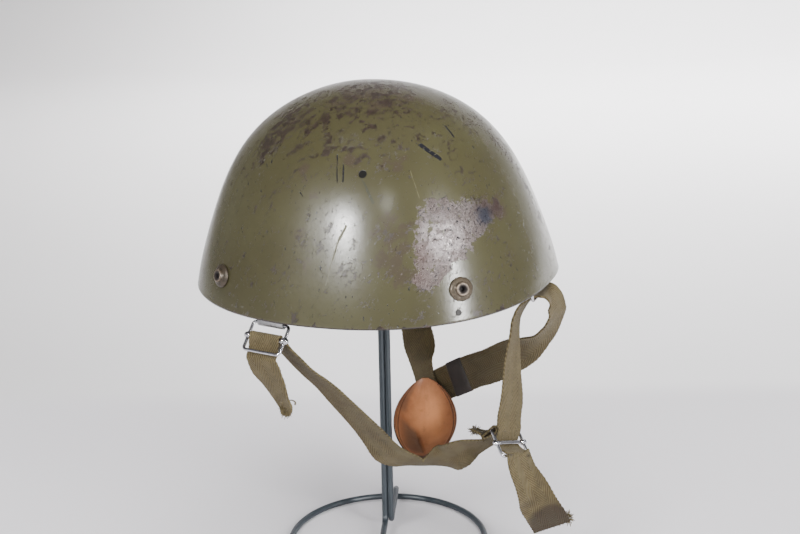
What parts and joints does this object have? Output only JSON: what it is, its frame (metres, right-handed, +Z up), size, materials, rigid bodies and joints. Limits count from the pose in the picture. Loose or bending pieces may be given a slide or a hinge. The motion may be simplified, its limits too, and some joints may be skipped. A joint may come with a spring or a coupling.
{
  "type": "paratrooper helmet on a stand",
  "caption": "Worn olive steel helmet with a webbing chin harness, sliding bar buckles and a leather chin cup, resting on a wire stand.",
  "frame": {"origin": "on the surface the stand's ring rests on, at the middle of the whole assembly's outline", "axes": "+Z up; -Y the way the helmet's front looks; +X the wearer's left"},
  "size_m": [0.248, 0.2881, 0.3629],
  "materials": {
    "olive_paint": "semi-gloss olive paint, worn and chipped to reddish brown primer",
    "worn_rivet": "bare bronze-brown metal, worn",
    "plug_grey": "matt grey",
    "nickel_wire": "polished nickel, lightly worn",
    "sheet_metal": "dull grey sheet",
    "webbing": "woven cotton herringbone webbing, olive khaki, worn",
    "cup_leather": "soft orange-brown leather",
    "stand_paint": "dark slate-grey, satin"
  },
  "bodies": {
    "root": {"shell": "olive_paint", "front_left_rivet": "worn_rivet", "front_right_rivet": "worn_rivet", "rear_left_rivet": "worn_rivet", "rear_right_rivet": "worn_rivet", "shell_plug": "plug_grey", "left_buckle_frame": "nickel_wire", "left_buckle_bar": "nickel_wire", "nape_buckle_frame": "nickel_wire", "nape_buckle_bar": "nickel_wire", "nape_link": "nickel_wire", "left_chin_strap": "webbing", "nape_strap": "webbing", "right_chin_strap": "webbing", "left_hanger": "sheet_metal", "nape_hanger": "sheet_metal", "chin_cup": "cup_leather", "stand": "stand_paint"}
  },
  "joints": []
}
